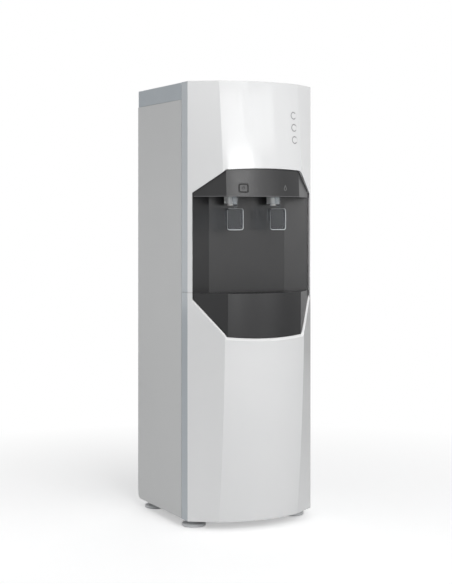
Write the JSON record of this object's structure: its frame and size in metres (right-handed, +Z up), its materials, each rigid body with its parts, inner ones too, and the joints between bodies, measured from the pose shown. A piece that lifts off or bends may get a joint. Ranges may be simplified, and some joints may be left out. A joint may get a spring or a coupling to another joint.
{
  "type": "point-of-use water cooler",
  "caption": "Floor-standing hot and cold water cooler with a bowed white front, dark dispensing bay, two push-lever taps, a drip tray and a wire condenser on its back.",
  "frame": {"origin": "on the floor, in the middle of the overall box", "axes": "-Y towards the user, +X to the right seen from the front, +Z up"},
  "size_m": [0.348, 0.4479, 1.1],
  "materials": {
    "white_panel": "satin-gloss white moulded plastic",
    "side_steel": "light grey powder-coated sheet steel",
    "grey_cover": "mid grey fine-grained plastic",
    "zinc_steel": "zinc-coated sheet steel",
    "charcoal_plastic": "charcoal satin plastic",
    "clear_plastic": "clear polished plastic",
    "smoky_clear": "smoke-tinted clear plastic",
    "white_fitting": "natural white plastic",
    "silicone": "translucent silicone hose",
    "spring_steel": "bright stainless wire and rod",
    "circuit_board": "green circuit board",
    "foot_grey": "grey moulded plastic",
    "black_enamel": "black enamelled steel",
    "grommet_rubber": "black rubber",
    "copper": "drawn copper tube",
    "stainless": "drawn stainless steel",
    "thermostat_black": "black electrical plastic",
    "foam": "white moulded insulation foam",
    "red_rocker": "red switch rocker",
    "green_rocker": "green switch rocker"
  },
  "bodies": {
    "cabinet": {"upper_front_panel": "white_panel", "lower_front_panel": "white_panel", "indicator_lenses": "white_panel", "left_side_panel": "side_steel", "right_side_panel": "side_steel", "top_cover": "grey_cover", "rear_panel": "zinc_steel", "base_plate": "zinc_steel", "upper_shelf": "zinc_steel", "lower_shelf": "zinc_steel", "hood_fascia": "charcoal_plastic", "bay_housing": "charcoal_plastic", "hot_tap_body": "clear_plastic", "cold_tap_body": "clear_plastic", "tap_spouts": "white_fitting", "float_valve": "white_fitting", "cold_tank_lid": "white_fitting", "filter_cartridges": "white_fitting", "filter_head_rail": "white_fitting", "inlet_valve": "white_fitting", "water_inlet": "white_fitting", "drain_outlets": "white_fitting", "water_tubes": "white_fitting", "tap_hoses": "silicone", "hot_valve_spring": "spring_steel", "cold_valve_spring": "spring_steel", "lever_pins": "spring_steel", "panel_screws": "spring_steel", "indicator_board": "circuit_board", "lock_switch": "circuit_board", "control_board": "circuit_board", "compressor": "black_enamel", "condenser_coil": "black_enamel", "condenser_wires": "black_enamel", "condenser_brackets": "black_enamel", "compressor_grommets": "grommet_rubber", "refrigerant_lines": "copper", "evaporator_coil": "copper", "cold_tank": "stainless", "hot_tank": "stainless", "heater": "stainless", "thermostats": "thermostat_black", "mains_inlet": "thermostat_black", "switch_housings": "thermostat_black", "cold_tank_insulation": "foam", "hot_tank_insulation": "foam"},
    "hot_lever": {"hot_lever": "smoky_clear"},
    "cold_lever": {"cold_lever": "smoky_clear"},
    "hot_valve": {"hot_valve_stem": "white_fitting"},
    "cold_valve": {"cold_valve_stem": "white_fitting"},
    "lock_button": {"lock_button": "charcoal_plastic"},
    "drip_tray": {"drip_tray": "charcoal_plastic"},
    "grille": {"drip_grille": "charcoal_plastic"},
    "hot_switch": {"hot_switch": "red_rocker"},
    "cold_switch": {"cold_switch": "green_rocker"},
    "float_arm": {"float_arm": "white_fitting"},
    "front_left_foot": {"front_left_foot": "foot_grey"},
    "front_right_foot": {"front_right_foot": "foot_grey"},
    "rear_left_foot": {"rear_left_foot": "foot_grey"},
    "rear_right_foot": {"rear_right_foot": "foot_grey"}
  },
  "joints": [
    {"name": "hot_lever_pivot", "type": "hinge", "parent": "cabinet", "child": "hot_lever", "pos_m": [-0.06, -0.15605, 0.85], "axis": [1, 0, 0], "range_deg": [0, 8], "stiffness_Nm_per_rad": 0.6, "springref_deg": -14.32},
    {"name": "hot_valve_lift", "type": "slide", "parent": "cabinet", "child": "hot_valve", "axis": [0, 0, 1], "range_m": [0, 0.0036], "stiffness_N_per_m": 0.02, "springref_m": 0.562, "deforming": ["hot_valve_spring"]},
    {"name": "cold_lever_pivot", "type": "hinge", "parent": "cabinet", "child": "cold_lever", "pos_m": [0.06, -0.15605, 0.85], "axis": [1, 0, 0], "range_deg": [0, 8], "stiffness_Nm_per_rad": 0.6, "springref_deg": -14.32},
    {"name": "cold_valve_lift", "type": "slide", "parent": "cabinet", "child": "cold_valve", "axis": [0, 0, 1], "range_m": [0, 0.0036], "stiffness_N_per_m": 0.02, "springref_m": 0.562, "deforming": ["cold_valve_spring"]},
    {"name": "lock_button_press", "type": "slide", "parent": "cabinet", "child": "lock_button", "axis": [0, 1, 0], "range_m": [0, 0.002], "stiffness_N_per_m": 800, "springref_m": -0.001},
    {"name": "drip_tray_slide", "type": "slide", "parent": "cabinet", "child": "drip_tray", "axis": [0, -1, 0], "range_m": [0, 0.15]},
    {"name": "grille_lift", "type": "slide", "parent": "drip_tray", "child": "grille", "axis": [0, 0, 1], "range_m": [0, 0.06]},
    {"name": "hot_switch_rock", "type": "hinge", "parent": "cabinet", "child": "hot_switch", "pos_m": [0.125, 0.18645, 0.19], "axis": [1, 0, 0], "range_deg": [0, 16]},
    {"name": "cold_switch_rock", "type": "hinge", "parent": "cabinet", "child": "cold_switch", "pos_m": [0.125, 0.18645, 0.15], "axis": [1, 0, 0], "range_deg": [0, 16]},
    {"name": "float_arm_swing", "type": "hinge", "parent": "cabinet", "child": "float_arm", "pos_m": [0, 0.09445, 1.002], "axis": [-1, 0, 0], "range_deg": [0, 15]},
    {"name": "front_left_foot_screw", "type": "slide", "parent": "cabinet", "child": "front_left_foot", "axis": [0, 0, -1], "range_m": [0, 0.012]},
    {"name": "front_right_foot_screw", "type": "slide", "parent": "cabinet", "child": "front_right_foot", "axis": [0, 0, -1], "range_m": [0, 0.012]},
    {"name": "rear_left_foot_screw", "type": "slide", "parent": "cabinet", "child": "rear_left_foot", "axis": [0, 0, -1], "range_m": [0, 0.012]},
    {"name": "rear_right_foot_screw", "type": "slide", "parent": "cabinet", "child": "rear_right_foot", "axis": [0, 0, -1], "range_m": [0, 0.012]}
  ],
  "couplings": [
    {"joint": "hot_valve_lift", "follows": "hot_lever_pivot", "m_per_rad": 0.0255},
    {"joint": "cold_valve_lift", "follows": "cold_lever_pivot", "m_per_rad": 0.0255}
  ]
}
